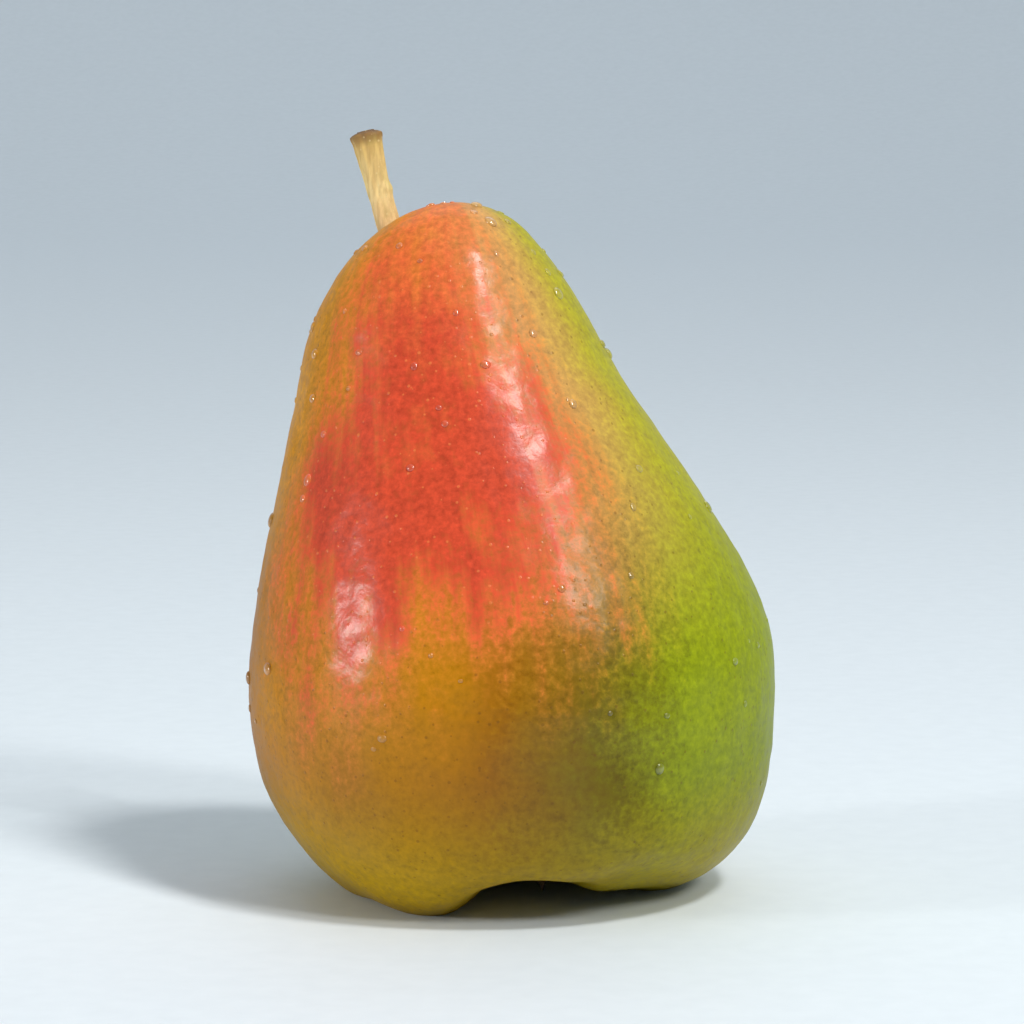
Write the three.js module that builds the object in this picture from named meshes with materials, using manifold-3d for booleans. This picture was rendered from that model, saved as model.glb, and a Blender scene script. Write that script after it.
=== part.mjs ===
// A ripe pear that stands on its blossom end.
//
// Millimetres, +Z up, the blushed cheek facing -Y. The fruit rests on a small flat spot in
// the plane z = 0, under the middle of its bounding box. The neck leans towards -X and a
// little towards +Y, so the stem leaves the crown behind its highest point.

import * as THREE from 'three';
import { mergeVertices } from 'three/addons/utils/BufferGeometryUtils.js';
import Module from 'manifold-3d';

// ---- driving dimensions ----------------------------------------------------------------

const GAP = 0.3; // clearance between pieces that touch

const body = {
  bellyRadius: 35,
  bellyHeight: 26.5,
  neckRadius: 21,
  neckHeight: 68,
  neckTaper: 0.36, // how fast the radius shrinks with height at the neck
  crownHeight: 91,
  footDepth: 3.2, // how far the flat spot cuts into the round foot
};

// How far each curve of the outline carries on straight before it turns.
const reach = {
  foot: 28,
  belowBelly: 17.5,
  aboveBelly: 17.5,
  belowNeck: 12,
  aboveNeck: 10,
  crown: 12,
};

const lean = {
  from: 32, // height where the fruit starts to lean
  to: 82,
  shift: new THREE.Vector2(-9, 5), // how far the crown has moved at the top
  tip: new THREE.Vector2(0.1, -0.34), // slope that the leaning crown gains
};

const outOfRound = {
  oval: 0.012, // share of the radius
  ovalAngle: 0.5,
  ribs: 0.01,
};

const basin = {
  shift: 1.6, // how far the foot has grown towards +X
  centre: new THREE.Vector2(0.5, -3), // blossom end, a little off the axis of the fruit
  depth: 11.2,
  radius: 10.8,
  rimRadius: 16.2,
  lobes: 5,
  lobeHeight: 0.7,
  furrowAngle: -1.66, // where one of the furrows between the lobes runs
  tilt: new THREE.Vector2(0.01, 0.045), // brings the lobes of the rim down to one level
};

// Swellings of the foot; a negative one is a hollow. The basin breaks through its rim at the
// first, the lobe beside it turns under early, and the next lobe hangs lowest.
const swellings = [
  { centre: new THREE.Vector2(0.5, -19.5), height: -8, radius: 7 },
  { centre: new THREE.Vector2(14.5, -21), height: -4, radius: 9 },
  { centre: new THREE.Vector2(-22, -4), height: 1.6, radius: 7 },
];

const dimple = {
  offset: new THREE.Vector2(-6, 5), // stem's foot, from the crown's axis
  drop: 1.97, // how far the round crown has fallen away there
  depth: 3.4,
  radius: 6.5,
};

const stem = {
  length: 21.5,
  seat: 4, // how much of the length is sunk in the fruit
  radius: 1.55,
  footRadius: 2.1,
  footEnd: 0.45, // share of the length where the foot's swelling ends
  tipRadius: 1.95,
  tipStart: 0.6, // share of the length where the tip starts to swell
  tipEnd: 0.97,
  leaves: new THREE.Vector3(-0.36, 0.3, 1).normalize(), // its way out of the dimple
  bend: 0.35, // share of the length from the dimple to the middle of the bend
  tipShift: new THREE.Vector2(-4.6, 3), // tip, sideways from the foot
};

const calyx = {
  radius: 3.4,
  height: 3.6,
  proud: 2.8, // how much of the height shows under the basin's floor
  lipRadius: 2.7,
  shoulderHeight: 2.2,
  throatRadius: 1.5,
  throatDepth: 1.4,
};

const sepals = {
  count: 5,
  length: 5.2,
  rootWidth: 2.2,
  widest: 1.8, // along the leaf from its root
  bulge: 2.4, // how far each edge's curve is pulled out there
  thickness: 0.5,
  droop: 0.8, // radians below the horizontal
};

const BODY_SIDES = 44;
const BODY_RINGS = 24; // rings in each of the outline's three stretches
const STEM_SIDES = 20;
const STEM_RINGS = 30;
const CALYX_SIDES = 24;
const CURVE_STEPS = 6; // in each curve of the calyx cup and the sepals

// ---- materials -------------------------------------------------------------------------

const skin = () => new THREE.MeshStandardMaterial({ color: 0xc8762a, roughness: 0.38, metalness: 0 });
const wood = () => new THREE.MeshStandardMaterial({ color: 0xb08a4c, roughness: 0.75, metalness: 0 });
const dryLeaf = () => new THREE.MeshStandardMaterial({ color: 0x4a3420, roughness: 0.9, metalness: 0 });

// ---- helpers ---------------------------------------------------------------------------

const wasm = await Module();
wasm.setup();

const { smoothstep } = THREE.MathUtils;

// 1 at the centre, falling smoothly to 0 at about twice the radius.
function bump(x, y, centre, radius) {
  const distance = Math.hypot(x - centre.x, y - centre.y);
  return Math.exp(-((distance / radius) ** 2));
}

// Moves every vertex of a geometry to where place(vertex) puts it.
function reshape(geometry, place) {
  const position = geometry.getAttribute('position');
  const vertex = new THREE.Vector3();
  for (let i = 0; i < position.count; i += 1) {
    place(vertex.fromBufferAttribute(position, i));
    position.setXYZ(i, vertex.x, vertex.y, vertex.z);
  }
  return geometry;
}

// A lathe shape standing on the z = 0 plane, turned about +Z.
function latheUpright(points, sides) {
  return new THREE.LatheGeometry(points, sides).rotateX(Math.PI / 2);
}

function toSolid(geometry) {
  const bare = geometry.clone();
  bare.deleteAttribute('normal');
  bare.deleteAttribute('uv');
  const merged = mergeVertices(bare, 1e-4);
  return new wasm.Manifold(new wasm.Mesh({
    numProp: 3,
    vertProperties: new Float32Array(merged.getAttribute('position').array),
    triVerts: new Uint32Array(merged.getIndex().array),
  }));
}

function toGeometry(solid) {
  const mesh = solid.getMesh();
  const geometry = new THREE.BufferGeometry();
  geometry.setAttribute('position', new THREE.BufferAttribute(mesh.vertProperties, 3));
  geometry.setIndex(new THREE.BufferAttribute(mesh.triVerts, 1));
  geometry.computeVertexNormals();
  return geometry;
}

function named(name, geometry, material) {
  const mesh = new THREE.Mesh(geometry, material);
  mesh.name = name;
  return mesh;
}

// ---- body ------------------------------------------------------------------------------

// Half outline of the fruit before it leans: foot, belly, neck and crown.
function bodyProfile() {
  const { bellyRadius, bellyHeight, neckRadius, neckHeight, neckTaper, crownHeight } = body;
  const profile = new THREE.Path();
  profile.moveTo(0, -body.footDepth);
  profile.bezierCurveTo(
    reach.foot, -body.footDepth,
    bellyRadius, bellyHeight - reach.belowBelly,
    bellyRadius, bellyHeight,
  );
  profile.bezierCurveTo(
    bellyRadius, bellyHeight + reach.aboveBelly,
    neckRadius + neckTaper * reach.belowNeck, neckHeight - reach.belowNeck,
    neckRadius, neckHeight,
  );
  profile.bezierCurveTo(
    neckRadius - neckTaper * reach.aboveNeck, neckHeight + reach.aboveNeck,
    reach.crown, crownHeight,
    0, crownHeight,
  );
  return profile.getPoints(BODY_RINGS);
}

// Slight ovalness all the way up, and faint ribs that run up from the lobes of the basin.
function growUneven(point) {
  const angle = Math.atan2(point.y, point.x);
  const low = 1 - smoothstep(point.z, 0, body.neckHeight);
  const oval = outOfRound.oval * Math.cos(2 * (angle - outOfRound.ovalAngle));
  const valleys = outOfRound.ribs * low * Math.cos(basin.lobes * (angle - basin.furrowAngle));
  point.x *= 1 + oval - valleys;
  point.y *= 1 + oval - valleys;
}

// The basin at the blossom end, its lobed rim and the swellings of the foot.
function sinkBasin(point) {
  const low = 1 - smoothstep(point.z, 0, body.bellyHeight);
  const fromCentre = Math.hypot(point.x - basin.centre.x, point.y - basin.centre.y);
  const around = Math.atan2(point.y - basin.centre.y, point.x - basin.centre.x);
  const onRim = Math.exp(-(((fromCentre - basin.rimRadius) / basin.radius) ** 2));
  const lobe = basin.lobeHeight * onRim * Math.cos(basin.lobes * (around - basin.furrowAngle));
  const floor = basin.depth * bump(point.x, point.y, basin.centre, basin.radius);
  const tilt = basin.tilt.x * point.x + basin.tilt.y * point.y;
  let lift = floor + lobe + tilt;
  for (const { centre, height, radius } of swellings) {
    lift -= height * bump(point.x, point.y, centre, radius);
  }
  point.z += low * lift;
  point.x += low * basin.shift;
}

// The dimple that the stem grows out of, and the lean of the neck.
function leanNeck(point) {
  const high = smoothstep(point.z, body.neckHeight, body.crownHeight);
  const leaning = smoothstep(point.z, lean.from, lean.to);
  const dip = dimple.depth * bump(point.x, point.y, dimple.offset, dimple.radius);
  point.z += leaning * (lean.tip.x * point.x + lean.tip.y * point.y) - high * dip;
  point.x += leaning * lean.shift.x;
  point.y += leaning * lean.shift.y;
}

function shapeBody(point) {
  growUneven(point);
  sinkBasin(point);
  leanNeck(point);
  point.z = Math.max(point.z, 0); // the flat spot
}

// ---- stem ------------------------------------------------------------------------------

// Where the stem leaves the skin: the bottom of the dimple.
function stemFoot() {
  const { offset, drop } = dimple;
  const foot = new THREE.Vector3(offset.x, offset.y, body.crownHeight - drop);
  leanNeck(foot);
  return foot;
}

function stemCurve() {
  const foot = stemFoot();
  const start = foot.clone().addScaledVector(stem.leaves, -stem.seat);
  const bend = foot.clone().addScaledVector(stem.leaves, stem.bend * stem.length);
  const rise = stem.length - stem.seat;
  const tip = foot.clone().add(new THREE.Vector3(stem.tipShift.x, stem.tipShift.y, rise));
  return new THREE.QuadraticBezierCurve3(start, bend, tip);
}

// Radius along the stem, from t = 0 at its foot to t = 1 at its tip.
function stemRadius(t) {
  const foot = (stem.footRadius - stem.radius) * (1 - smoothstep(t, 0, stem.footEnd));
  const tip = (stem.tipRadius - stem.radius) * smoothstep(t, stem.tipStart, stem.tipEnd);
  return stem.radius + foot + tip;
}

// An upright lathe of the given radii, carried over to the curve ring by ring.
function alongCurve(curve, radiusAt) {
  const points = [new THREE.Vector2(0, 0)];
  for (let i = 0; i <= STEM_RINGS; i += 1) {
    points.push(new THREE.Vector2(radiusAt(i / STEM_RINGS), i / STEM_RINGS));
  }
  points.push(new THREE.Vector2(0, 1));
  const tangent = new THREE.Vector3();
  const across = new THREE.Vector3();
  const away = new THREE.Vector3();
  const centre = new THREE.Vector3();
  return reshape(latheUpright(points, STEM_SIDES), (vertex) => {
    curve.getTangent(vertex.z, tangent);
    curve.getPoint(vertex.z, centre);
    away.set(0, 1, 0).cross(tangent).normalize();
    across.crossVectors(tangent, away);
    centre.addScaledVector(away, vertex.x).addScaledVector(across, vertex.y);
    vertex.copy(centre);
  });
}

// ---- calyx -----------------------------------------------------------------------------

// Where the cup's open end is: in the middle of the basin, just under its floor.
function calyxPlace() {
  const place = new THREE.Vector3(basin.centre.x, basin.centre.y, -body.footDepth);
  sinkBasin(place);
  place.z -= calyx.proud;
  return place;
}

// A shallow cup, open downwards, that is seated in the basin's floor.
function calyxCupGeometry() {
  const { radius, height, lipRadius, shoulderHeight, throatRadius, throatDepth } = calyx;
  const profile = new THREE.Path();
  profile.moveTo(0, throatDepth);
  profile.lineTo(throatRadius, throatDepth);
  profile.quadraticCurveTo(throatRadius, 0, lipRadius, 0);
  profile.quadraticCurveTo(radius, 0, radius, shoulderHeight);
  profile.quadraticCurveTo(radius, height, 0, height);
  return latheUpright(profile.getPoints(CURVE_STEPS), CALYX_SIDES);
}

// The hole that the cup sits in, clear of it all round.
function calyxSeatGeometry() {
  const { radius, height } = calyx;
  const wall = new THREE.CylinderGeometry(radius + GAP, radius + GAP, height + GAP, CALYX_SIDES);
  return wall.rotateX(Math.PI / 2).translate(0, 0, (height + GAP) / 2);
}

// A pointed leaf lying along +X, its stalk end at the origin.
function sepalGeometry() {
  const { length, rootWidth, widest, bulge, thickness } = sepals;
  const leaf = new THREE.Shape();
  leaf.moveTo(0, -rootWidth / 2);
  leaf.quadraticCurveTo(widest, -bulge, length, 0);
  leaf.quadraticCurveTo(widest, bulge, 0, rootWidth / 2);
  leaf.closePath();
  return new THREE.ExtrudeGeometry(leaf, {
    depth: thickness,
    bevelEnabled: false,
    curveSegments: CURVE_STEPS,
  });
}

// ---- assembly --------------------------------------------------------------------------

function makeBody(curve) {
  const fruit = reshape(latheUpright(bodyProfile(), BODY_SIDES), shapeBody);
  const socket = alongCurve(curve, (t) => stemRadius(t) + GAP);
  const seat = calyxSeatGeometry().translate(...calyxPlace());
  const solid = toSolid(fruit).subtract(toSolid(socket)).subtract(toSolid(seat));
  return named('pear_body', toGeometry(solid), skin());
}

function makeStem(curve) {
  return named('stem', alongCurve(curve, stemRadius), wood());
}

function makeCalyx() {
  const group = new THREE.Group();
  group.position.copy(calyxPlace());
  group.add(named('calyx_cup', calyxCupGeometry(), dryLeaf()));
  for (let i = 0; i < sepals.count; i += 1) {
    const spoke = new THREE.Group();
    const sepal = named(`sepal_${i + 1}`, sepalGeometry(), dryLeaf());
    spoke.rotation.z = (i * 2 * Math.PI) / sepals.count;
    sepal.position.x = calyx.radius + GAP;
    sepal.rotation.y = sepals.droop;
    spoke.add(sepal);
    group.add(spoke);
  }
  return group;
}

const pear = new THREE.Group();
const stalk = stemCurve();
pear.add(makeBody(stalk), makeStem(stalk), makeCalyx());

const bounds = new THREE.Box3().setFromObject(pear);
const middle = bounds.getCenter(new THREE.Vector3());
pear.position.set(-middle.x, -middle.y, 0);

export default pear;
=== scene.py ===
"""A ripe pear with a blushed cheek and a little water on it, on a plain pale studio floor.

Metres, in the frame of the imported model: +Z up, the blushed cheek towards -Y. The skin, the
stem and the dried calyx are built here finely, over the same outlines as the CAD solids.
"""

import math

import bpy
import numpy as np
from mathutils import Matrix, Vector, noise


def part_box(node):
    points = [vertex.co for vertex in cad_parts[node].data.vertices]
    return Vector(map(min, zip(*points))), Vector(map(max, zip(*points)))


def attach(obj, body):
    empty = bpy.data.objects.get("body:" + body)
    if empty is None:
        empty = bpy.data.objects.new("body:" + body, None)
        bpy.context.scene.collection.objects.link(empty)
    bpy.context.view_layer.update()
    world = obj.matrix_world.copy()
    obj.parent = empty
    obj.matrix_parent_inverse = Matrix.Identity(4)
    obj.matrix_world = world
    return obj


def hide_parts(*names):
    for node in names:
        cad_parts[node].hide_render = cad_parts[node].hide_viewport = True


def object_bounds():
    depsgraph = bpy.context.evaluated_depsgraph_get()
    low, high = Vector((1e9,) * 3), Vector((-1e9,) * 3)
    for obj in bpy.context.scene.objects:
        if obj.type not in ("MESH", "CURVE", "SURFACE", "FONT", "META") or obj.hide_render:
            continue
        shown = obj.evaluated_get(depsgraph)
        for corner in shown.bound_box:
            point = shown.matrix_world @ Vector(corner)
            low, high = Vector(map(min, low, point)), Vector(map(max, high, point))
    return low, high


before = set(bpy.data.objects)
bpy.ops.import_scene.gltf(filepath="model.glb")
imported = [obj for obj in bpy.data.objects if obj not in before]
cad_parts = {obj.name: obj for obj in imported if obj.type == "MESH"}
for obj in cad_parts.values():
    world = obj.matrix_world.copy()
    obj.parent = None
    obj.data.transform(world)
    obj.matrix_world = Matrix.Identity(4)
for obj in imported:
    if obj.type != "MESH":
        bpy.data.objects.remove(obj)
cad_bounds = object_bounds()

SEED = 11

# One millimetre of the CAD model as it stands in the frame, from the height of its fruit.
CAD_FRUIT_HEIGHT = 91.83
FRUIT_LOW, FRUIT_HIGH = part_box("pear_body")
MM = (FRUIT_HIGH.z - FRUIT_LOW.z) / CAD_FRUIT_HEIGHT

# ---- the fruit's outline, as in the CAD model ----------------------------------------------

BELLY_RADIUS = 35 * MM
BELLY_HEIGHT = 26.5 * MM
NECK_RADIUS = 21 * MM
NECK_HEIGHT = 68 * MM
NECK_TAPER = 0.36
CROWN_HEIGHT = 91 * MM
FOOT_DEPTH = 3.2 * MM

# How far each curve of the outline carries on straight before it turns.
REACH_FOOT = 28 * MM
REACH_BELOW_BELLY = 17.5 * MM
REACH_ABOVE_BELLY = 17.5 * MM
REACH_BELOW_NECK = 12 * MM
REACH_ABOVE_NECK = 10 * MM
REACH_CROWN = 12 * MM

LEAN_FROM = 32 * MM
LEAN_TO = 82 * MM
LEAN_SHIFT = np.array([-9, 5]) * MM
LEAN_TIP = np.array([0.1, -0.34])

OVAL = 0.012
OVAL_ANGLE = 0.5
RIBS = 0.01

LOBES = 5
BASIN_SHIFT = 1.6 * MM
BASIN_CENTRE = np.array([0.5, -3]) * MM
BASIN_DEPTH = 11.2 * MM
BASIN_RADIUS = 10.8 * MM
BASIN_RIM_RADIUS = 16.2 * MM
BASIN_LOBE_HEIGHT = 0.7 * MM
BASIN_FURROW_ANGLE = -1.66
BASIN_TILT = np.array([0.01, 0.045])
# Swellings of the foot, as (centre, height, radius); a negative one is a hollow.
SWELLINGS = [
    (np.array([0.5, -19.5]) * MM, -8 * MM, 7 * MM),
    (np.array([14.5, -21]) * MM, -4 * MM, 9 * MM),
    (np.array([-22, -4]) * MM, 1.6 * MM, 7 * MM),
]

DIMPLE_OFFSET = np.array([-6, 5]) * MM
DIMPLE_DROP = 1.97 * MM
DIMPLE_DEPTH = 3.4 * MM
DIMPLE_RADIUS = 6.5 * MM

STEM_LENGTH = 21.5 * MM
STEM_SEAT = 4 * MM
STEM_RADIUS = 1.55 * MM
STEM_FOOT_RADIUS = 2.1 * MM
STEM_FOOT_END = 0.45
STEM_TIP_RADIUS = 1.95 * MM
STEM_TIP_START = 0.6
STEM_TIP_END = 0.97
STEM_LEAVES = np.array([-0.36, 0.3, 1])
STEM_BEND = 0.35
STEM_TIP_SHIFT = np.array([-4.6, 3]) * MM

CALYX_RADIUS = 3.4 * MM
CALYX_PROUD = 2.8 * MM
# The cup's half outline as (radius, height) curves in mm, from the throat's floor over the lip
# at height 0 and up the outside into the flesh.
CUP_CURVES = [
    [(0.2, 2.0), (1.0, 1.9), (1.5, 1.0)],
    [(1.5, 1.0), (1.9, 0.0), (2.7, 0.0)],
    [(2.7, 0.0), (3.4, 0.0), (3.4, 2.2)],
    [(3.4, 2.2), (3.4, 3.6), (0.2, 3.6)],
]
SEPALS = 5
SEPAL_LENGTH = 5 * MM
SEPAL_THICKNESS = 0.32 * MM

# ---- shape helpers -------------------------------------------------------------------------


def smoothstep(value, low, high):
    t = np.clip((value - low) / (high - low), 0, 1)
    return t * t * (3 - 2 * t)


def bell(distance, radius):
    """1 at the centre, falling smoothly to 0 at about twice the radius."""
    return np.exp(-((distance / radius) ** 2))


def bezier(points, t):
    """A cubic or quadratic Bezier curve through the first and last of the points."""
    degree = len(points) - 1
    t = np.asarray(t, float)[:, None]
    return sum(
        math.comb(degree, i) * (1 - t) ** (degree - i) * t**i * np.array(point, float)
        for i, point in enumerate(points)
    )


def evenly(points, count):
    """The same line, cut into count equal steps."""
    steps = np.linalg.norm(np.diff(points, axis=0), axis=1)
    run = np.concatenate([[0], np.cumsum(steps)])
    wanted = np.linspace(0, run[-1], count + 1)
    return np.stack([np.interp(wanted, run, column) for column in points.T], axis=1)


def rough(points, wavelength, octaves=2, seed=0):
    """Smooth noise from about -1 to 1 at each point."""
    offset = Vector((seed * 17.3, seed * 5.1, seed * 9.7))
    return np.array(
        [
            noise.fractal(Vector(p) / wavelength + offset, 1.0, 2.0, octaves)
            for p in points
        ]
    )


def make_object(name, vertices, faces):
    mesh = bpy.data.meshes.new(name)
    mesh.from_pydata([tuple(v) for v in vertices], [], faces)
    mesh.update()
    mesh.polygons.foreach_set("use_smooth", [True] * len(mesh.polygons))
    piece = bpy.data.objects.new(name, mesh)
    bpy.context.scene.collection.objects.link(piece)
    return piece


def circle(sides):
    """Unit directions round the axis, as rows of (cos, sin)."""
    angle = np.linspace(0, 2 * math.pi, sides, endpoint=False)
    return np.column_stack([np.cos(angle), np.sin(angle)])


def around(out):
    """Distance and angle of each (x, y) row from its centre."""
    return np.linalg.norm(out, axis=1), np.arctan2(out[:, 1], out[:, 0])


def waves(angle, rows):
    """Waves round the axis, added up. Each row is (how many, height, phase)."""
    return sum(height * np.cos(count * angle + phase) for count, height, phase in rows)


def capped_rings(ring_count, sides):
    """Faces of a closed skin: vertex 0, then the rings, then one last vertex."""
    last = 1 + ring_count * sides
    faces = []
    for s in range(sides):
        n = (s + 1) % sides
        faces.append((0, 1 + n, 1 + s))
        faces.append((last, last - sides + s, last - sides + n))
    for r in range(ring_count - 1):
        low = 1 + r * sides
        high = low + sides
        for s in range(sides):
            n = (s + 1) % sides
            faces.append((low + s, low + n, high + n, high + s))
    return faces


def read_vectors(data, name):
    """A vector property of every vertex, as rows."""
    values = np.zeros(len(data) * 3, np.float32)
    data.foreach_get(name, values)
    return values.reshape(-1, 3)


def displace(piece, heights):
    """Push each vertex out along its normal."""
    mesh = piece.data
    moved = read_vectors(mesh.vertices, "co")
    moved += read_vectors(mesh.vertex_normals, "vector") * np.asarray(heights)[:, None]
    mesh.vertices.foreach_set("co", moved.ravel())
    mesh.update()


def write_growth(piece, growth):
    attribute = piece.data.attributes.new("growth", "FLOAT_VECTOR", "POINT")
    attribute.data.foreach_set("vector", growth.astype(np.float32).ravel())


# ---- body ----------------------------------------------------------------------------------

BODY_SIDES = 340
BODY_RINGS = 270
CURVE_STEPS = 400

# The flesh heaped and creased round the stem, and folded round the calyx.
COLLAR_HEIGHT = 0.55 * MM
COLLAR_RADIUS = 3.6 * MM
COLLAR_WIDTH = 1.3 * MM
CREASE_DEPTH = 0.9 * MM
CREASE_RADIUS = 2.5 * MM
COLLAR_WAVES = [(7, 0.35, 1.3), (4, 0.21, 0.4)]
FOLD_HEIGHT = 0.32 * MM
FOLD_RADIUS = 6 * MM
FOLD_WIDTH = 3.2 * MM
FOLD_WAVES = [(10, 1.0, 0.7), (15, 0.5, 0.0)]

# Lumps and pebbles of the skin, as (height, spacing). They fade out just above the floor.
LUMPS = (0.28 * MM, 17 * MM)
PEBBLES = (0.11 * MM, 3.6 * MM)
SMOOTH_FOOT = 3 * MM


def body_profile(rings):
    """Half outline of the fruit before it leans, as (radius, height), foot to crown."""
    t = np.linspace(0, 1, CURVE_STEPS)
    foot = bezier(
        [
            (0, -FOOT_DEPTH),
            (REACH_FOOT, -FOOT_DEPTH),
            (BELLY_RADIUS, BELLY_HEIGHT - REACH_BELOW_BELLY),
            (BELLY_RADIUS, BELLY_HEIGHT),
        ],
        t,
    )
    shoulder = bezier(
        [
            (BELLY_RADIUS, BELLY_HEIGHT),
            (BELLY_RADIUS, BELLY_HEIGHT + REACH_ABOVE_BELLY),
            (NECK_RADIUS + NECK_TAPER * REACH_BELOW_NECK, NECK_HEIGHT - REACH_BELOW_NECK),
            (NECK_RADIUS, NECK_HEIGHT),
        ],
        t,
    )
    crown = bezier(
        [
            (NECK_RADIUS, NECK_HEIGHT),
            (NECK_RADIUS - NECK_TAPER * REACH_ABOVE_NECK, NECK_HEIGHT + REACH_ABOVE_NECK),
            (REACH_CROWN, CROWN_HEIGHT),
            (0, CROWN_HEIGHT),
        ],
        t,
    )
    return evenly(np.concatenate([foot, shoulder[1:], crown[1:]]), rings)


def grow_uneven(p):
    """Slight ovalness all the way up, and faint ribs that run up from the basin."""
    _, angle = around(p[:, :2])
    low = 1 - smoothstep(p[:, 2], 0, NECK_HEIGHT)
    oval = OVAL * np.cos(2 * (angle - OVAL_ANGLE))
    valleys = RIBS * low * np.cos(LOBES * (angle - BASIN_FURROW_ANGLE))
    p[:, :2] *= (1 + oval - valleys)[:, None]


def sink_basin(p):
    """The basin at the blossom end, its lobed rim and the swellings of the foot."""
    low = 1 - smoothstep(p[:, 2], 0, BELLY_HEIGHT)
    distance, angle = around(p[:, :2] - BASIN_CENTRE)
    on_rim = bell(distance - BASIN_RIM_RADIUS, BASIN_RADIUS)
    lobe = BASIN_LOBE_HEIGHT * on_rim * np.cos(LOBES * (angle - BASIN_FURROW_ANGLE))
    lift = BASIN_DEPTH * bell(distance, BASIN_RADIUS) + lobe + p[:, :2] @ BASIN_TILT
    for centre, height, radius in SWELLINGS:
        distance, _ = around(p[:, :2] - centre)
        lift -= height * bell(distance, radius)
    p[:, 2] += low * lift
    p[:, 0] += low * BASIN_SHIFT


def lean_neck(p):
    """The dimple that the stem grows out of, and the lean of the neck."""
    high = smoothstep(p[:, 2], NECK_HEIGHT, CROWN_HEIGHT)
    leaning = smoothstep(p[:, 2], LEAN_FROM, LEAN_TO)
    distance, _ = around(p[:, :2] - DIMPLE_OFFSET)
    dip = DIMPLE_DEPTH * bell(distance, DIMPLE_RADIUS)
    p[:, 2] += leaning * (p[:, :2] @ LEAN_TIP) - high * dip
    p[:, :2] += leaning[:, None] * LEAN_SHIFT


def pucker(p):
    """The collar of flesh round the stem's foot and the folds round the calyx."""
    high = smoothstep(p[:, 2], NECK_HEIGHT, CROWN_HEIGHT)
    distance, angle = around(p[:, :2] - DIMPLE_OFFSET)
    collar = COLLAR_HEIGHT * bell(distance - COLLAR_RADIUS, COLLAR_WIDTH)
    crease = CREASE_DEPTH * bell(distance, CREASE_RADIUS)
    p[:, 2] += high * (collar * (1 + waves(angle, COLLAR_WAVES)) - crease)

    low = 1 - smoothstep(p[:, 2], 0, BELLY_HEIGHT)
    distance, angle = around(p[:, :2] - BASIN_CENTRE)
    folds = FOLD_HEIGHT * bell(distance - FOLD_RADIUS, FOLD_WIDTH)
    p[:, 2] += low * folds * waves(angle, FOLD_WAVES)


def body_surface(rings, sides, detail):
    """The skin's vertices, pole to pole, and where each one grew: (cos, sin, height share)."""
    profile = body_profile(rings)
    ring = circle(sides)
    inner = profile[1:-1]
    across = (inner[:, None, 0, None] * ring[None]).reshape(-1, 2)
    height = np.repeat(inner[:, 1], sides)
    points = np.concatenate(
        [
            [[0, 0, profile[0, 1]]],
            np.column_stack([across, height]),
            [[0, 0, profile[-1, 1]]],
        ]
    )
    share = points[:, 2] / CROWN_HEIGHT
    growth = np.column_stack([np.tile(ring, (len(inner), 1)), share[1:-1]])
    growth = np.concatenate([[[0, 0, share[0]]], growth, [[0, 0, share[-1]]]])
    if detail:
        pucker(points)
    grow_uneven(points)
    sink_basin(points)
    lean_neck(points)
    points[:, 2] = np.maximum(points[:, 2], 0)
    return points, growth


def frame_offset():
    """From the outline's own axis to the model's frame, read off the CAD solid's box."""
    points, _ = body_surface(rings=60, sides=90, detail=False)
    own = (points.min(0) + points.max(0)) / 2
    packed = (FRUIT_LOW + FRUIT_HIGH) / 2
    return np.array([packed.x - own[0], packed.y - own[1], 0])


OFFSET = frame_offset()


def build_body():
    points, growth = body_surface(BODY_RINGS, BODY_SIDES, detail=True)
    points += OFFSET
    body = make_object("pear_skin", points, capped_rings(BODY_RINGS - 1, BODY_SIDES))
    off_floor = smoothstep(points[:, 2], 0, SMOOTH_FOOT)
    lumps = sum(
        height * rough(points, spacing, octaves=2, seed=seed)
        for seed, (height, spacing) in enumerate([LUMPS, PEBBLES], start=1)
    )
    displace(body, lumps * off_floor)
    write_growth(body, growth)
    return body


# ---- stem ----------------------------------------------------------------------------------

STEM_SIDES = 64
STEM_RINGS = 200
STEM_TWIST = 0.5

# Relief, in shares of the stem's radius: ridges as (how many, height, phase), then the bud
# scar on one side and the rim of the tip as (place along the stem, height, width).
STEM_RIDGES = [(3, 0.05, 0.6), (7, 0.04, 0.0), (13, 0.025, 2.0)]
STEM_SCAR = (0.62, 0.1, 0.035)
STEM_SCAR_ANGLE = 1.0
STEM_RIM = (0.965, 0.12, 0.03)
STEM_TIP_CLOSING = 0.3
STEM_PIT_DEPTH = 0.45 * MM

# Bark, as (height, spacing); it is drawn out along the stem.
STEM_BARK = (0.07 * MM, 1.1 * MM)
BARK_STRETCH = [1, 1, 0.35]


def stem_line():
    """Foot, bend and tip of the stem's centre line."""
    foot = np.array([[*DIMPLE_OFFSET, CROWN_HEIGHT - DIMPLE_DROP]])
    lean_neck(foot)
    foot = foot[0] + OFFSET
    into = STEM_LEAVES / np.linalg.norm(STEM_LEAVES)
    tip = foot + np.array([*STEM_TIP_SHIFT, STEM_LENGTH - STEM_SEAT])
    return [foot - STEM_SEAT * into, foot + STEM_BEND * STEM_LENGTH * into, tip]


def stem_radius(t):
    foot = (STEM_FOOT_RADIUS - STEM_RADIUS) * (1 - smoothstep(t, 0, STEM_FOOT_END))
    tip = (STEM_TIP_RADIUS - STEM_RADIUS) * smoothstep(t, STEM_TIP_START, STEM_TIP_END)
    return STEM_RADIUS + foot + tip


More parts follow.
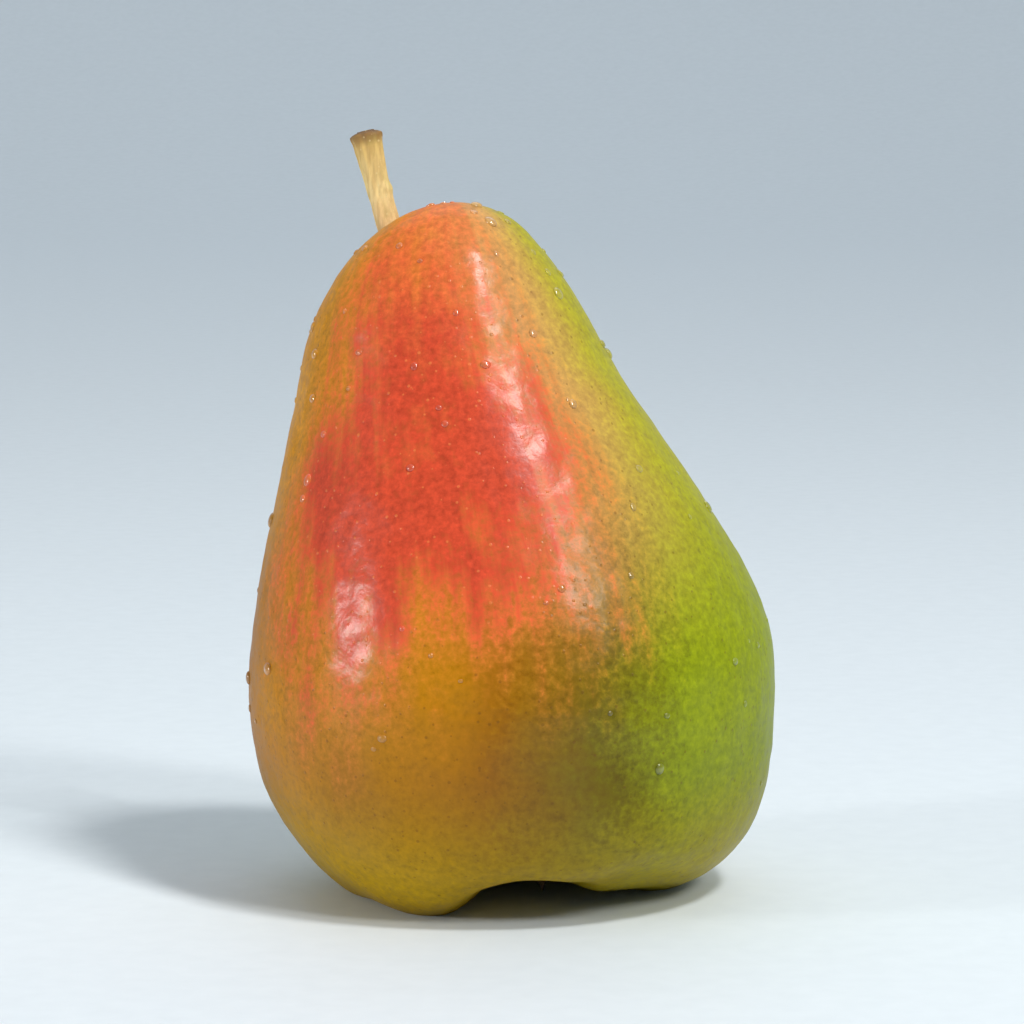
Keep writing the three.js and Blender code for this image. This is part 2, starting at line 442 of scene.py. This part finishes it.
def tube(line, t, radius, sides):
    """Rings of points round a Bezier line: its centre, its last direction and the rings. The
    radius may differ from ring to ring, or from point to point."""
    centre = bezier(line, t)
    tangent = np.gradient(centre, axis=0)
    tangent /= np.linalg.norm(tangent, axis=1)[:, None]
    away = np.cross([0, 1, 0], tangent)
    away /= np.linalg.norm(away, axis=1)[:, None]
    across = np.cross(tangent, away)
    cos, sin = circle(sides).T
    spokes = cos[None, :, None] * away[:, None] + sin[None, :, None] * across[:, None]
    rings = centre[:, None] + radius[..., None] * spokes
    return centre, tangent[-1], rings.reshape(-1, 3)


def stem_relief(t, angle):
    """Ridges, scar and rim at each ring and angle, in shares of the stem's radius."""
    ridges = waves(angle + STEM_TWIST * t, STEM_RIDGES)
    place, height, width = STEM_SCAR
    scar = height * bell(t - place, width) * (1 + np.cos(angle - STEM_SCAR_ANGLE))
    place, height, width = STEM_RIM
    return ridges + scar + height * bell(t - place, width)


def build_stem():
    t = np.linspace(0, 1, STEM_RINGS)
    angle = np.linspace(0, 2 * math.pi, STEM_SIDES, endpoint=False)
    past_rim = np.clip((t - STEM_TIP_END) / (1 - STEM_TIP_END), 0, 1)
    rounding = np.sqrt(np.clip(1 - past_rim**2, STEM_TIP_CLOSING, 1))
    radius = (stem_radius(t) * rounding)[:, None] * (1 + stem_relief(t[:, None], angle))
    centre, tip_direction, rings = tube(stem_line(), t, radius, STEM_SIDES)
    pit = centre[-1] - STEM_PIT_DEPTH * tip_direction
    points = np.concatenate([[centre[0]], rings, [pit]])
    stem = make_object("stem_stalk", points, capped_rings(STEM_RINGS, STEM_SIDES))
    height, spacing = STEM_BARK
    displace(stem, height * rough(points * BARK_STRETCH, spacing, octaves=3, seed=3))
    share = np.concatenate([[0], np.repeat(t, STEM_SIDES), [1]])
    attribute = stem.data.attributes.new("share", "FLOAT", "POINT")
    attribute.data.foreach_set("value", share.astype(np.float32))
    return stem


# ---- node helpers --------------------------------------------------------------------------


class Nodes:
    """A short way to write a node tree: each method adds a node and returns its output.

    A noise's or spots' scale is how many waves or cells it has to a metre.
    """

    def __init__(self, name):
        self.material = bpy.data.materials.new(name)
        self.material.use_nodes = True
        self.tree = self.material.node_tree
        self.shader = self.tree.nodes["Principled BSDF"]

    def add(self, kind, inputs=(), **settings):
        node = self.tree.nodes.new(kind)
        for key, value in settings.items():
            setattr(node, key, value)
        for key, value in dict(inputs).items():
            self.put(value, node.inputs[key])
        return node

    def put(self, value, socket):
        if isinstance(value, bpy.types.NodeSocket):
            self.tree.links.new(value, socket)
        else:
            socket.default_value = value

    def set(self, **sockets):
        for key, value in sockets.items():
            self.put(value, self.shader.inputs[key.replace("_", " ")])

    def position(self):
        return self.add("ShaderNodeTexCoord").outputs["Object"]

    def attribute(self, name, output):
        return self.add("ShaderNodeAttribute", attribute_name=name).outputs[output]

    def math(self, operation, a, b=0.0, c=0.0):
        return self.add("ShaderNodeMath", {0: a, 1: b, 2: c}, operation=operation).outputs[0]

    def vector(self, operation, a, b=(0, 0, 0), output="Vector"):
        node = self.add("ShaderNodeVectorMath", {0: a, 1: b}, operation=operation)
        return node.outputs[output]

    def split(self, vector):
        return self.add("ShaderNodeSeparateXYZ", {0: vector}).outputs

    def smooth(self, value, low, high, to_low=0.0, to_high=1.0):
        inputs = {
            "Value": value,
            "From Min": low,
            "From Max": high,
            "To Min": to_low,
            "To Max": to_high,
        }
        node = self.add("ShaderNodeMapRange", inputs, interpolation_type="SMOOTHSTEP")
        return node.outputs["Result"]

    def noise(self, vector, scale, detail=2.0, roughness=0.5):
        inputs = {"Vector": vector, "Scale": scale, "Detail": detail, "Roughness": roughness}
        return self.add("ShaderNodeTexNoise", inputs).outputs["Fac"]

    def stir(self, value, *pushes):
        """The value pushed up and down by noises, each by up to half of its size."""
        for noise_value, size in pushes:
            value = self.math("ADD", value, self.math("MULTIPLY_ADD", noise_value, size, -size / 2))
        return value

    def spots(self, vector, scale):
        """Distance to the nearest spot in spot spacings, and that spot's own random number."""
        node = self.add("ShaderNodeTexVoronoi", {"Vector": vector, "Scale": scale})
        return node.outputs["Distance"], self.split(node.outputs["Color"])[0]

    def mix(self, share, a, b, blend="MIX"):
        inputs = {0: share, 6: a, 7: b}
        node = self.add("ShaderNodeMix", inputs, data_type="RGBA", blend_type=blend)
        return node.outputs[2]

    def ramp(self, value, stops):
        node = self.add("ShaderNodeValToRGB", {"Fac": value})
        elements = node.color_ramp.elements
        while len(elements) < len(stops):
            elements.new(0.5)
        for element, (place, colour) in zip(elements, stops):
            element.position = place
            element.color = colour
        return node.outputs["Color"]

    def bump(self, height, distance, strength, normal=None):
        inputs = {"Height": height, "Distance": distance, "Strength": strength}
        if normal is not None:
            inputs["Normal"] = normal
        return self.add("ShaderNodeBump", inputs).outputs["Normal"]


def srgb(red, green, blue):
    """A colour given as it looks on a screen, 0 to 255."""
    return tuple(
        c / 12.92 if c <= 0.04045 else ((c + 0.055) / 1.055) ** 2.4
        for c in (red / 255, green / 255, blue / 255)
    ) + (1.0,)


# ---- skin ----------------------------------------------------------------------------------

BLUSH_FACING = (-0.26, -0.966, 0.0)
GREEN_FACING = (0.707, 0.707, 0.0)

# Heights between which the blush turns, narrows, starts and fades, and between which the
# ground colour loses the darkening towards the foot (painted shade of the underside, partly
# the foot's own duller colour) and the yellow of the foot.
BLUSH_TURNS = (50 * MM, 80 * MM)
BLUSH_NARROWS = (45 * MM, 80 * MM)
BLUSH_STARTS = (24 * MM, 56 * MM)
BLUSH_FADES = (62 * MM, 94 * MM)
FOOT_PAINTED_SHADE = (10 * MM, 38 * MM)
FOOT_YELLOW = (2 * MM, 22 * MM)

# The lower edge of the blush rises to the right, and the noises shift it this far.
BLUSH_SLOPE = 0.3
BLUSH_EDGE = (12 * MM, 14 * MM, 18 * MM, 14 * MM)

# Lenticel sizes are shares of their spacing.
LENTICELS_PER_METRE = 760
LENTICEL_RADIUS = 0.02
LENTICEL_SPREAD = 0.1
LENTICEL_RELIEF = 0.06 * MM
SKIN_RELIEF = 0.06 * MM


def skin_noises(n):
    """The noises that both the colour and the gloss of the skin are made from, by name."""
    place = n.position()
    grown = n.attribute("growth", "Vector")
    meridian = n.vector("MULTIPLY", grown, (1.0, 1.0, 0.5))
    return {
        "broad": n.noise(place, 26),
        "soft": n.noise(place, 70, detail=1),
        "blotches": n.noise(place, 260, detail=3, roughness=0.6),
        "streaks": n.noise(meridian, 11, detail=4, roughness=0.6),
        "mottle": n.noise(place, 1100, detail=3, roughness=0.65),
    }


def sun_share(n, noises):
    """How much sun each place had, 0 to 1: most on the cheek, which turns a little to the right
    and narrows up the neck, and fades towards the foot, lower down on the left, and the crown."""
    broad, soft, blotches, streaks, mottle = noises.values()
    x, _, z = n.split(n.position())
    grown = n.attribute("growth", "Vector")
    facing = n.vector("DOT_PRODUCT", grown, BLUSH_FACING, output="Value")
    turn = n.smooth(z, *BLUSH_TURNS, 0.0, 0.1)
    facing = n.math("MULTIPLY_ADD", n.split(grown)[0], turn, facing)
    facing = n.stir(facing, (broad, 0.15), (soft, 0.2), (streaks, 0.18), (mottle, 0.24))
    cheek = n.smooth(facing, n.smooth(z, *BLUSH_NARROWS, 0.42, 0.62), 1.0)
    level = n.math("MULTIPLY_ADD", x, -BLUSH_SLOPE, z)
    level = n.stir(level, *zip((broad, soft, streaks, mottle), BLUSH_EDGE))
    above_foot = n.smooth(level, *BLUSH_STARTS, 0.04, 0.95)
    below_crown = n.smooth(z, *BLUSH_FADES, 1.0, 0.5)
    burn = n.stir(1.0, (soft, 0.5), (blotches, 0.7), (streaks, 0.5))
    sun = n.math("MULTIPLY", cheek, above_foot)
    sun = n.math("MULTIPLY", sun, below_crown)
    return n.math("MULTIPLY", sun, burn)


def ground_colour(n, noises):
    """The skin under the blush: gold on the sunny side, then olive, then green in the shade.
    It darkens towards the foot, mostly as painted shade, and on the front the step from gold
    to green is a pale tan, partly painted sheen.
    """
    broad, soft, blotches, _, mottle = noises.values()
    grown = n.attribute("growth", "Vector")
    z = n.split(n.position())[2]
    shade = n.vector("DOT_PRODUCT", grown, GREEN_FACING, output="Value")
    shade = n.stir(shade, (broad, 0.3), (soft, 0.25), (blotches, 0.15), (mottle, 0.3))
    low = n.ramp(
        n.math("MULTIPLY_ADD", shade, 0.5, 0.5),
        [
            (0.0, srgb(192, 128, 2)),
            (0.11, srgb(156, 100, 1)),
            # The olive is darker than the gold and the green on either side: partly the skin's
            # olive, partly painted shade of the lower front.
            (0.3, srgb(110, 98, 1)),
            (0.48, srgb(136, 148, 1)),
        ],
    )
    # Darker towards the foot: painted shade of the underside, partly the foot's own duller colour.
    low = n.mix(1.0, low, n.smooth(z, *FOOT_PAINTED_SHADE, 0.76, 1.0), blend="MULTIPLY")
    # On the front the step from gold to green is a pale pinkish tan: painted sheen, partly the
    # skin's waxy bloom; further round it is yellow.
    between = n.mix(n.smooth(n.split(grown)[1], -0.7, 0.0), srgb(202, 150, 86), srgb(184, 150, 30))
    high = n.mix(n.smooth(shade, -0.95, -0.3), srgb(200, 134, 10), between)
    high = n.mix(n.smooth(shade, -0.3, 0.4), high, srgb(166, 160, 30))
    ground = n.mix(n.smooth(n.split(grown)[2], 0.36, 0.7), low, high)
    return n.mix(n.smooth(z, *FOOT_YELLOW, 0.7, 0.0), ground, srgb(172, 146, 4))


def skin_colour(n, noises):
    """The colour of the skin without its lenticels, and the sun it had."""
    sun = sun_share(n, noises)
    blush = n.ramp(
        sun,
        [
            (0.3, srgb(212, 118, 48)),
            (0.6, srgb(212, 98, 50)),
            (0.85, srgb(198, 70, 42)),
        ],
    )
    colour = n.mix(n.smooth(sun, 0.0, 0.75), ground_colour(n, noises), blush)
    tone = n.stir(0.97, (noises["mottle"], 1.2), (noises["blotches"], 0.3))
    return n.mix(1.0, colour, tone, blend="MULTIPLY"), sun


def skin_material():
    n = Nodes("pear_skin")
    place = n.position()
    noises = skin_noises(n)
    colour, sun = skin_colour(n, noises)

    # Lenticels: dark dots on the ground colour, pale ones on the blush.
    distance, luck = n.spots(place, LENTICELS_PER_METRE)
    size = n.math("MULTIPLY_ADD", luck, LENTICEL_SPREAD, LENTICEL_RADIUS)
    dot = n.smooth(n.math("SUBTRACT", distance, size), 0.0, 0.1, 1.0, 0.0)
    dot_colour = n.mix(n.smooth(sun, 0.35, 0.6), srgb(100, 62, 8), srgb(228, 132, 70))
    colour = n.mix(n.math("MULTIPLY", dot, 0.42), colour, dot_colour)

    n.set(
        Base_Color=colour,
        Roughness=n.smooth(noises["mottle"], 0.3, 0.7, 0.38, 0.5),
        Specular_IOR_Level=0.08,
        Coat_Weight=n.smooth(noises["soft"], 0.35, 0.65, 0.075, 0.135),
        Coat_IOR=2.0,
        Coat_Roughness=0.24,
    )
    grain = n.bump(n.noise(place, 1100, detail=3), SKIN_RELIEF, 0.6)
    relief = n.bump(dot, LENTICEL_RELIEF, 0.5, normal=grain)
    n.set(Normal=relief, Coat_Normal=relief)
    return n.material


def stem_material():
    n = Nodes("stem_wood")
    place = n.position()
    share = n.attribute("share", "Fac")
    fibre = n.noise(n.vector("MULTIPLY", place, (1, 1, 0.18)), 1600, detail=4, roughness=0.6)
    blotch = n.noise(place, 330, detail=3)
    colour = n.ramp(
        share,
        [
            (0.16, srgb(188, 122, 84)),
            (0.34, srgb(226, 180, 126)),
            (0.62, srgb(240, 210, 142)),
            (0.90, srgb(216, 180, 104)),
            (0.965, srgb(140, 104, 52)),
            (1.0, srgb(84, 58, 32)),
        ],
    )
    colour = n.mix(n.smooth(fibre, 0.35, 0.65, 0.0, 0.35), colour, srgb(158, 112, 58))
    colour = n.mix(n.smooth(blotch, 0.52, 0.72, 0.0, 0.3), colour, srgb(176, 162, 80))
    distance, _ = n.spots(place, 1300)
    fleck = n.smooth(distance, 0.12, 0.24, 1.0, 0.0)
    colour = n.mix(n.math("MULTIPLY", fleck, 0.5), colour, srgb(232, 208, 150))
    n.set(Base_Color=colour, Roughness=n.smooth(fibre, 0.3, 0.7, 0.55, 0.75))
    n.set(Normal=n.bump(fibre, 0.16 * MM, 0.7))
    return n.material


# ---- calyx ---------------------------------------------------------------------------------


CUP_SIDES = 96
CUP_CURVE_STEPS = 10
CUP_LOBES = [(SEPALS, 0.05, 0.0), (23, 0.02, 0.0)]
CUP_ROUGHNESS = (0.09 * MM, 0.9 * MM)

SEPAL_ROWS = 34
SEPAL_COLUMNS = 17
SEPAL_OVERLAP = 0.25 * MM
SEPAL_ROOT_HEIGHT = 0.35 * MM
SEPAL_ROOT_WIDTH = 1.05 * MM
SEPAL_BULGE = 0.75 * MM
SEPAL_TIP_WIDTH = 0.05 * MM
SEPAL_HOLLOW = 0.32 * MM
SEPAL_WAVE = 0.14 * MM
MIDRIB_HEIGHT = 0.12 * MM
MIDRIB_WIDTH = 0.16

STAMENS = 16
STAMEN_STEPS = 14
STAMEN_SIDES = 7
STAMEN_RADIUS = 0.13 * MM
STAMEN_TAPER = 0.35
ANTHER_RADIUS = 0.16 * MM
STAMEN_RING_RADIUS = 1.3 * MM
STAMEN_DEPTH = 1.4 * MM
STAMEN_LEAN = 0.7 * MM


def calyx_place():
    """Middle of the cup's open end."""
    place = np.array([[BASIN_CENTRE[0], BASIN_CENTRE[1], -FOOT_DEPTH]])
    sink_basin(place)
    return place[0] + OFFSET - [0, 0, CALYX_PROUD]


def build_cup(place):
    t = np.linspace(0, 1, CUP_CURVE_STEPS + 1)
    curves = [bezier(curve, t)[1:] for curve in CUP_CURVES]
    outline = np.concatenate([[CUP_CURVES[0][0]], *curves]) * MM
    angle = np.linspace(0, 2 * math.pi, CUP_SIDES, endpoint=False)
    radius = outline[:, 0, None] * (1 + waves(angle, CUP_LOBES))
    height = np.repeat(outline[:, 1, None], CUP_SIDES, axis=1)
    rings = np.stack([radius * np.cos(angle), radius * np.sin(angle), height], axis=2)
    floor = [[0, 0, outline[0, 1]]]
    back = [[0, 0, outline[-1, 1]]]
    points = np.concatenate([floor, rings.reshape(-1, 3), back])
    inside_out = capped_rings(len(outline), CUP_SIDES)
    cup = make_object("calyx_ring", points + place, [face[::-1] for face in inside_out])
    height, spacing = CUP_ROUGHNESS
    displace(cup, height * rough(points, spacing, octaves=3, seed=5))
    return cup


def sheet_faces(rows, columns):
    """Faces of a closed sheet: a grid of vertices on top, the same underneath, and the edge."""
    size = rows * columns
    faces = []
    for r in range(rows - 1):
        for c in range(columns - 1):
            a = r * columns + c
            b = a + columns
            faces.append((a, b, b + 1, a + 1))
            faces.append((size + a, size + a + 1, size + b + 1, size + b))
    edge = list(range(columns))
    edge += [r * columns + columns - 1 for r in range(1, rows)]
    edge += [(rows - 1) * columns + c for c in range(columns - 2, -1, -1)]
    edge += [r * columns for r in range(rows - 2, 0, -1)]
    for a, b in zip(edge, edge[1:] + edge[:1]):
        faces.append((a, b, size + b, size + a))
    return faces


def build_sepal(index, place):
    """A dry pointed leaf: a closed sheet with a curl, a midrib and an uneven edge. Along it t
    runs from 0 at the root to 1, and across it s from -1 to 1. No two sepals are quite alike."""
    along = np.linspace(0, 1, SEPAL_ROWS)
    t, s = np.meshgrid(along, np.linspace(-1, 1, SEPAL_COLUMNS), indexing="ij")
    length = SEPAL_LENGTH * (1 + 0.1 * math.sin(index * 2.1))
    half = SEPAL_ROOT_WIDTH + SEPAL_BULGE * np.sin(math.pi * t**0.75)
    half = half * (1 - t**2.2) + SEPAL_TIP_WIDTH
    half = half * (1 + 0.1 * np.sin(9 * t + index) * (1 - t))
    droop = 0.62 + 0.12 * math.cos(index * 1.7)
    curl = 0.5 + 0.35 * math.sin(index * 1.3 + 0.5)
    angle = droop + curl * (t - 0.3) ** 2
    out = CALYX_RADIUS - SEPAL_OVERLAP + length * t * np.cos(angle)
    hollow = SEPAL_HOLLOW * s**2 * (1 - 0.4 * t)
    wave = SEPAL_WAVE * np.sin(7 * t + 2.5 * s + index)
    middle = SEPAL_ROOT_HEIGHT - length * t * np.sin(angle) + hollow + wave
    midrib = MIDRIB_HEIGHT * bell(s, MIDRIB_WIDTH) * (1 - t)
    above = middle - midrib + SEPAL_THICKNESS / 2
    below = middle - 1.6 * midrib - SEPAL_THICKNESS / 2 * (1 - 0.6 * t)
    top = np.stack([out, s * half, above], axis=2)
    under = np.stack([out, s * half, below], axis=2)
    points = np.concatenate([top.reshape(-1, 3), under.reshape(-1, 3)])
    cos = math.cos(2 * math.pi * index / SEPALS)
    sin = math.sin(2 * math.pi * index / SEPALS)
    turn = np.array([[cos, sin, 0], [-sin, cos, 0], [0, 0, 1]])
    faces = sheet_faces(SEPAL_ROWS, SEPAL_COLUMNS)
    return make_object(f"dry_sepal_{index + 1}", points @ turn + place, faces)


def build_stamens(place):
    """Dry stamens, curled in the throat of the cup: thin tubes joined in one piece."""
    random = np.random.default_rng(SEED)
    t = np.linspace(0, 1, STAMEN_STEPS)
    thickness = STAMEN_RADIUS * (1 - STAMEN_TAPER * t) + ANTHER_RADIUS * bell(t - 1, 0.1)
    up = np.array([0, 0, 1])
    vertices, faces = [], []
    for i in range(STAMENS):
        turn = 2 * math.pi * i / STAMENS + random.uniform(-0.15, 0.15)
        reach = random.uniform(0.2, 1.3) * MM
        aside = turn + random.uniform(-0.7, 0.7)
        drop = random.uniform(-1.5, -0.5) * MM
        outward = np.array([math.cos(turn), math.sin(turn), 0])
        curled = np.array([math.cos(aside), math.sin(aside), 0])
        root = STAMEN_RING_RADIUS * outward + STAMEN_DEPTH * up
        bend = (STAMEN_RING_RADIUS + STAMEN_LEAN) * outward
        tip = bend + reach * curled + drop * up
        centre, _, rings = tube([root, bend, tip], t, thickness[:, None], STAMEN_SIDES)
        first = len(vertices)
        vertices += [centre[0], *rings, centre[-1]]
        tube_faces = capped_rings(STAMEN_STEPS, STAMEN_SIDES)
        faces += [tuple(first + v for v in face) for face in tube_faces]
    return make_object("dry_stamens", np.array(vertices) + place, faces)


def calyx_material():
    n = Nodes("dry_calyx")
    place = n.position()
    fibre = n.noise(place, 1500, detail=4, roughness=0.65)
    blotch = n.noise(place, 420, detail=2)
    colour = n.mix(n.smooth(fibre, 0.35, 0.7), srgb(58, 38, 22), srgb(112, 80, 48))
    colour = n.mix(n.smooth(blotch, 0.5, 0.75, 0.0, 0.5), colour, srgb(132, 112, 66))
    n.set(Base_Color=colour, Roughness=n.smooth(fibre, 0.3, 0.7, 0.7, 0.9))
    n.set(Normal=n.bump(fibre, 0.14 * MM, 0.8))
    return n.material


# ---- water ---------------------------------------------------------------------------------

DROPS = 150
DROP_RADIUS = 0.46 * MM
DROP_RADIUS_SPREAD = 0.34
LARGEST_DROP = 1.1 * MM
DROP_SQUASH = (0.38, 0.55)
DROP_STRETCH = (0.88, 1.14)
DROP_RINGS = 7
DROP_SIDES = 16
# How far under its widest ring a drop goes on, as an angle, and how far down it closes.
DROP_TUCK = 0.25 * math.pi
DROP_FOOT = -0.72
# Drops keep off the foot, and off skin whose normal points further down than this.
LOWEST_DROP = 14 * MM
STEEPEST_UNDERSIDE = -0.35


def drop_dome(squash, stretch):
    """A drop of radius 1 that bulges over its own foot, closed below the skin."""
    lift = np.linspace(-DROP_TUCK, 0.5 * math.pi, DROP_RINGS + 1)[:-1]
    cos, sin = circle(DROP_SIDES).T
    dome = np.stack(
        [
            np.cos(lift)[:, None] * cos * stretch,
            np.cos(lift)[:, None] * sin / stretch,
            np.sin(lift)[:, None] * squash * np.ones(DROP_SIDES),
        ],
        axis=2,
    )
    foot = [[0, 0, DROP_FOOT * squash]]
    return np.concatenate([foot, dome.reshape(-1, 3), [[0, 0, squash]]])


def build_drops(body):
    """Small drops sitting on the skin, joined in one piece, each knowing where its skin grew."""
    random = np.random.default_rng(SEED + 1)
    skin = read_vectors(body.data.vertices, "co")
    normals = read_vectors(body.data.vertex_normals, "vector")
    growth = read_vectors(body.data.attributes["growth"].data, "vector")
    able = (skin[:, 2] > LOWEST_DROP) & (normals[:, 2] > STEEPEST_UNDERSIDE)
    chosen = random.choice(np.flatnonzero(able), DROPS, replace=False)
    vertices, faces = [], []
    for vertex in chosen:
        radius = min(DROP_RADIUS * random.lognormal(0.0, DROP_RADIUS_SPREAD), LARGEST_DROP)
        squash = random.uniform(*DROP_SQUASH)
        stretch = random.uniform(*DROP_STRETCH)
        upright = np.array(Vector(normals[vertex]).to_track_quat("Z", "Y").to_matrix())
        first = len(vertices)
        dome = drop_dome(squash, stretch) * radius
        vertices += list(dome @ upright.T + skin[vertex])
        drop_faces = capped_rings(DROP_RINGS, DROP_SIDES)
        faces += [tuple(first + v for v in face) for face in drop_faces]
    drops = make_object("water_drops", vertices, faces)
    write_growth(drops, np.repeat(growth[chosen], len(vertices) // DROPS, axis=0))
    return drops


def water_material():
    """A clear drop: the colour of the skin seen through it, under a smooth wet face."""
    n = Nodes("water")
    colour, _ = skin_colour(n, skin_noises(n))
    n.set(Base_Color=colour, Roughness=0.3, Coat_Weight=1.0, Coat_Roughness=0.03)
    return n.material


# ---- studio --------------------------------------------------------------------------------

FLOOR_SIDES = 96
FLAT_RADIUS = 1.5
WALL_RADIUS = 2.4
WALL_FOOT = 0.9
WALL_HEIGHT = 2.4

LAMP_DISTANCE = 1.5
LAMP_SPREAD = 90
WHITE = (1.0, 1.0, 1.0)
WARM = (1.0, 0.98, 0.95)
WARMER = (1.0, 0.97, 0.93)
SKY = (0.88, 0.94, 1.0, 1)
SKY_STRENGTH = 0.26

MIDDLE = (Vector(cad_bounds[0]) + Vector(cad_bounds[1])) / 2
BEHIND = Vector((0, 1.6, 0))


def build_floor():
    """A wide pale floor that sweeps up into a wall all round."""
    run = np.linspace(0, 1, 50)[1:]
    flat = np.column_stack([FLAT_RADIUS * run, 0 * run])
    sweep = bezier([(FLAT_RADIUS, 0), (WALL_RADIUS, 0), (WALL_RADIUS, WALL_FOOT)], run)
    outline = np.concatenate([flat, sweep, [(WALL_RADIUS, WALL_HEIGHT)]])
    across = (outline[:, None, 0, None] * circle(FLOOR_SIDES)[None]).reshape(-1, 2)
    height = np.repeat(outline[:, 1], FLOOR_SIDES)
    points = np.concatenate([[[0, 0, 0]], np.column_stack([across, height])])
    faces = []
    for s in range(FLOOR_SIDES):
        n = (s + 1) % FLOOR_SIDES
        faces.append((0, 1 + s, 1 + n))
        for r in range(len(outline) - 1):
            low = 1 + r * FLOOR_SIDES
            high = low + FLOOR_SIDES
            faces.append((low + s, high + s, high + n, low + n))
    return make_object("floor", points, faces)


def floor_material():
    n = Nodes("floor_paper")
    fine = n.noise(n.position(), 260, detail=3)
    paper = n.mix(fine, (0.70, 0.77, 0.82, 1), (0.76, 0.83, 0.88, 1))
    n.set(Base_Color=paper, Roughness=0.6)
    return n.material


def aim(thing, place, target):
    thing.location = place
    thing.rotation_euler = (target - place).to_track_quat("-Z", "Y").to_euler()


def add_light(name, direction, distance, size, power, colour, spread=180, target=MIDDLE):
    """An area lamp that stands off its target in the given direction and faces it."""
    light = bpy.data.lights.new(name, "AREA")
    light.shape = "RECTANGLE"
    light.size, light.size_y = size
    light.energy = power
    light.color = colour
    light.spread = math.radians(spread)
    lamp = bpy.data.objects.new(name, light)
    bpy.context.scene.collection.objects.link(lamp)
    aim(lamp, target + Vector(direction).normalized() * distance, target)


def add_camera(elevation, distance, lens):
    camera = bpy.data.cameras.new("camera")
    camera.lens = lens
    camera.clip_start = 0.01
    view = bpy.data.objects.new("camera", camera)
    bpy.context.scene.collection.objects.link(view)
    back = Vector((0, -distance * math.cos(elevation), distance * math.sin(elevation)))
    aim(view, MIDDLE + back, MIDDLE)
    bpy.context.scene.camera = view


def add_world():
    world = bpy.data.worlds.new("studio")
    world.use_nodes = True
    background = world.node_tree.nodes["Background"]
    background.inputs["Color"].default_value = SKY
    background.inputs["Strength"].default_value = SKY_STRENGTH
    bpy.context.scene.world = world


# ---- assembly ------------------------------------------------------------------------------


def dress(piece, material):
    piece.data.materials.append(material)
    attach(piece, "root")


add_camera(elevation=math.radians(7), distance=0.55, lens=145)

body = build_body()
dress(body, skin_material())
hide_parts("pear_body")

stem = build_stem()
dress(stem, stem_material())
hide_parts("stem")

dry = calyx_material()
calyx_middle = calyx_place()
cup = build_cup(calyx_middle)
dress(cup, dry)
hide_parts("calyx_cup")
for index in range(SEPALS):
    sepal = build_sepal(index, calyx_middle)
    dress(sepal, dry)
    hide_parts(f"sepal_{index + 1}")
dress(build_stamens(calyx_middle), dry)

dress(build_drops(body), water_material())

floor = build_floor()
floor.data.materials.append(floor_material())

for name, direction, size, power, colour in [
    ("window", (0.54, -0.6, 0.58), (0.2, 0.32), 1.95, WARMER),
    ("overhead", (0.34, -0.33, 0.72), (0.2, 0.2), 2.9, WARM),
    ("left_window", (-0.95, -0.33, 0.2), (0.22, 0.2), 2.1, WARM),
]:
    add_light(name, direction, LAMP_DISTANCE, size, power, colour, LAMP_SPREAD)
add_light("ceiling", (0.0, 0.0, 1.0), 1.9, (1.4, 1.4), 3.6, WHITE)
add_light("backdrop", (0.0, -0.1, 1.0), 1.6, (2.0, 1.2), 9, WHITE, target=BEHIND)
add_world()
bpy.context.scene.view_settings.view_transform = "Standard"
